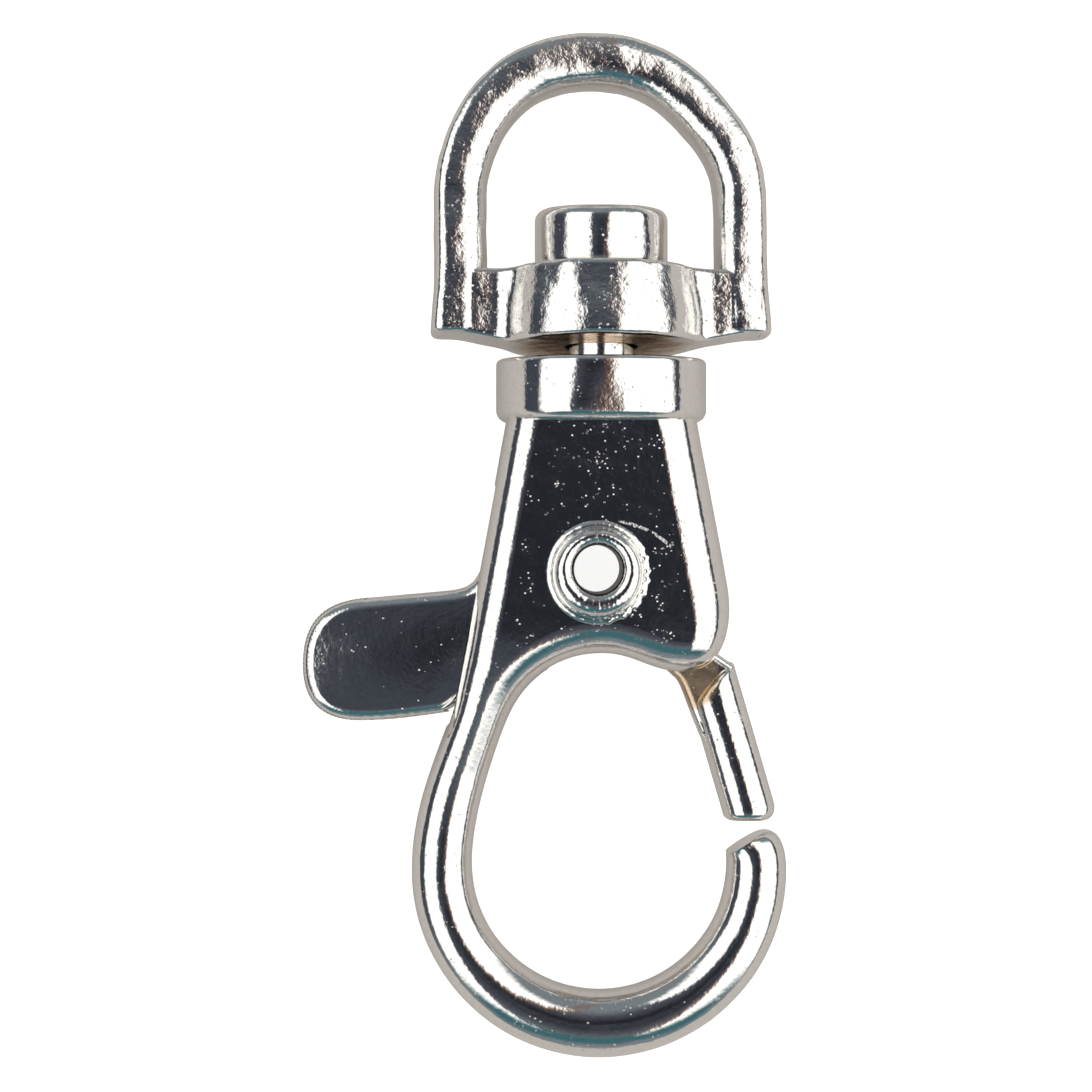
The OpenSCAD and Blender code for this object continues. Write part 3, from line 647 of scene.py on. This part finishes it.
# Swivel ring: a plated zinc casting, the D-shaped bow and the boss that turns on the stud in one.
# It is rougher than the hook, with an uneven bow, and it leans back on the stud as it lies.
boss_y, boss_radius, boss_half = 9.76, 3.7, 1.4
bow_radius, bow_y, bow_wide, bow_deep = 5.225, 4.1, 0.925, 1.15
foot_wide, foot_half, foot_low, fillet = 5.9, 1.1, -1.0, 0.8
ring_lean, ring_turn, bore_radius = radians(5), radians(4), 1.367
bow_swell, foot_flare, foot_curl, base_edge = 0.05, 0.14, 0.2, 0.22
bow_sides, bow_steps, rise_steps = 48, 96, 24


def bow_section(at, out, wide, deep, side):
    """Section of the bow: a rounded oblong, flatter outwards. Side goes from 0, right, to 1."""
    section = []
    for k in range(bow_sides):
        a = 2 * pi * k / bow_sides
        c, s = cos(a), sin(a)
        form = 2 / (3.3 + 1.7 * side if c > 0 else 2.7 - 0.4 * side)
        along = abs(c) ** form * (1 if c > 0 else -1) * wide
        depth = abs(s) ** form * (1 if s > 0 else -1) * deep
        section.append(((at + out * along).real, (at + out * along).imag, depth))
    return section


leg_heights = [foot_low, foot_low + 0.02, foot_low + 0.08, foot_low + 0.2]
leg_heights += [
    foot_low + 0.4 + (bow_y - foot_low - 0.4) * k / rise_steps for k in range(rise_steps)
]


def leg_section(height, way, side):
    """Section of a leg of the bow, wider and then rounded off at its foot."""
    flare = foot_flare * smooth(foot_low + 2.4 - height, 0, 2.4)
    above = max(0, 1 - (height - foot_low) / foot_curl)
    curl = foot_curl * (1 - sqrt(1 - above ** 2))
    return bow_section(
        way * (bow_radius + flare / 2) + height * 1j, way,
        bow_wide + bow_swell + flare / 2 - curl, bow_deep - curl, side
    )


bow_sections = [leg_section(height, 1, 0) for height in leg_heights]
for step in range(bow_steps + 1):
    angle = 180 * step / bow_steps
    swell = 0.16 * exp(-((angle - 125) / 22) ** 2) - 0.2 * exp(-((angle - 42) / 22) ** 2)
    out = cmath.rect(1, radians(angle))
    at = bow_y * 1j + out * (bow_radius + swell)
    wide = bow_wide + bow_swell + bow_swell * sin(radians(angle))
    bow_sections.append(bow_section(at, out, wide, bow_deep, smooth(angle, 60, 150)))
bow_sections += [leg_section(height, -1, 1) for height in leg_heights[::-1]]
ring = loft("swivel_ring_casting", bow_sections)


def base_section(x, wide, low, high, edge):
    """Section of the base across the bar: an oblong with rounded edges and rows on its faces."""
    corners = (
        (wide - edge + (high - edge) * 1j, 0), (-wide + edge + (high - edge) * 1j, 90),
        (-wide + edge + (low + edge) * 1j, 180), (wide - edge + (low + edge) * 1j, 270)
    )
    outline = []
    for k, (centre, start) in enumerate(corners):
        outline += arc(centre, edge, start, start + 90, 5)
        end, (following, turn) = outline[-1], corners[(k + 1) % 4]
        begin = following + cmath.rect(edge, radians(turn))
        outline += [end + (begin - end) * share for share in (0.03, 0.2, 0.4, 0.6, 0.8, 0.97)]
    return [(x, p.imag, p.real) for p in outline]


fillet_x = sqrt((boss_radius + fillet) ** 2 - (foot_half + fillet) ** 2)
fillet_centre = fillet_x + (foot_half + fillet) * 1j
fillet_angle = degrees(atan2(foot_half + fillet, fillet_x))
quarter = joined(
    straight(foot_wide + foot_half * 1j, fillet_x + foot_half * 1j, 14),
    arc(fillet_centre, fillet, 270, 180 + fillet_angle, 8),
    arc(0j, boss_radius, fillet_angle, 90, 28),
)
base_sections = []
for point in quarter + [complex(-p.real, p.imag) for p in quarter[-2::-1]]:
    x, wide = point.real, point.imag
    low = -boss_half + (boss_half + foot_low) * smooth(abs(x), 2.9, 5.9)
    base_sections.append(base_section(x, wide, low, boss_half, base_edge))
base = loft("ring_base", base_sections)
for vertex in base.data.vertices:
    x, y, z = vertex.co
    across = atan2(x, z) + 0.09
    rise = smooth(y, -boss_half, boss_half)
    press = (0.03 + 0.045 * rise) * exp(-(across / 0.42) ** 2)
    press += 0.055 * smooth(y, -0.5, boss_half) * smooth(abs(across), 0.3, 0.6)
    press = 1 - press * smooth(hypot(x, z), 2.6, 3.5) * smooth(4 - abs(x), 0.3, 0.8)
    vertex.co = (x * press, y, z * press)
combined(ring, base, "UNION")
combined(ring, moved(rod(bore_radius, -2, 2, 0j), turn=along_swivel), "DIFFERENCE")
waved(ring, 1.1, 0.06)
moved(ring, turn=(-ring_lean, 0, 0))
moved(ring, turn=(0, ring_turn, 0))
moved(ring, (0, boss_y, 0))
laid(ring, 35)
ring.data.materials.append(nickel(
    "nickel_on_ring", lumps=1.8, pocks=0.1,
    patches=[((-4.6, 9.8, 1), 2.4), ((4.4, 9.8, 1), 2.4), ((1, 18.5, 1), 3)],
    # The brown tint under the boss is painted shade and warm reflection in the gap above the
    # collar.
    painted_gap_shade=((0, 8.0, 0), 3.6)
))
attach(ring, "ring")
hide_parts("swivel_ring")

# Table: a plain pale surface. The light comes from the world, by direction: two long soft lights
# beside the camera, a dim room, and the warm and teal bands that bright nickel picks up in it.
bpy.ops.object.select_all(action="DESELECT")
bpy.ops.mesh.primitive_plane_add(size=1.2)
table = bpy.context.object
table.name = "table"
table_look = bpy.data.materials.new("pale_table")
table_look.use_nodes = True
table_look.node_tree.nodes.clear()
start = Wire(table_look.node_tree)
camera_ray = start.node("LightPath", {}, {}, 0)
glossy_ray = Wire(start.tree, camera_ray.socket.node.outputs["Is Glossy Ray"])
shader = start.node("BsdfPrincipled", {}, {
    "Base Color": (0.66, 0.61, 0.57, 1), "Roughness": 0.9,
    "Emission Color": (1, 1, 1, 1), "Emission Strength": camera_ray * 0.88 + glossy_ray * 0.06
})
shader.node("OutputMaterial", {}, {"Surface": shader})
table.data.materials.append(table_look)

lamp_colour, end_colour = (1.3, 1.3, 1.28, 1), (0.62, 0.62, 0.61, 1)
dark_room, dim_room, far_room = (
    (0.018, 0.02, 0.026, 1), (0.055, 0.062, 0.08, 1), (0.2, 0.235, 0.26, 1)
)
warm_colour, teal_colour = (0.24, 0.11, 0.06, 1), (0.055, 0.15, 0.175, 1)
world = bpy.data.worlds.new("soft_lights")
bpy.context.scene.world = world
world.use_nodes = True
world.node_tree.nodes.clear()
start = Wire(world.node_tree)
way = start.node("TexCoord", {}, {}, 0)
across = way.vectors("DOT_PRODUCT", way, (1, 0, 0), output=1)
along = way.vectors("DOT_PRODUCT", way, (0, cos(rest_pitch), sin(rest_pitch)), output=1)
toward = way.vectors("DOT_PRODUCT", way, (0, -sin(rest_pitch), cos(rest_pitch)), output=1)
aside = across.maths("ARCTAN2", across, toward) * (180 / pi)
rise = along.maths("ARCSINE", along) * (180 / pi)
to_left, below = 0 - aside, 0 - rise
left_light = to_left.between(15, 19) * (1 - to_left.between(62, 69))
right_light = aside.between(11, 14) * (1 - aside.between(76, 83))
length = 1 - abs(rise).between(32, 46)
lights = (left_light + right_light) * length
warm = aside.between(7, 11) * (1 - aside.between(13, 16)) * 0.8
off = aside.maths("SQRT", aside * aside + rise * rise)
room = off.between(1, 14).blend(dark_room, dim_room)
room = abs(rise).between(12, 50).blend(room, far_room)
room = warm.blend(room, warm_colour)
teal = below.between(26, 40) * (1 - below.between(54, 68)) * (1 - abs(aside).between(50, 75))
room = teal.blend(room, teal_colour)
ends = abs(rise).between(72, 88) * 0.7
room = ends.blend(room, end_colour)
glow = lights.blend(room, lamp_colour)
camera_ray = way.node("LightPath", {}, {}, 0)
glow = camera_ray.blend(glow, (1, 1, 1, 1))
background = way.node("Background", {}, {"Color": glow, "Strength": 1.0})
background.node("OutputWorld", {}, {"Surface": background})

# Camera: square over the clasp's front face, near enough to see a little of its side walls.
view_distance = 0.12
view_centre = (0.0000275, -0.0000526, 0.003335)
bpy.ops.object.camera_add(
    location=(
        view_centre[0], view_centre[1] - view_distance * sin(rest_pitch),
        view_centre[2] + view_distance * cos(rest_pitch)
    ),
    rotation=(rest_pitch, 0, 0)
)
camera = bpy.context.object
camera.data.sensor_width = 36
camera.data.lens = 106.3
camera.data.clip_start = 0.001
camera.data.clip_end = 10
bpy.context.scene.camera = camera
bpy.context.scene.view_settings.view_transform = "Standard"
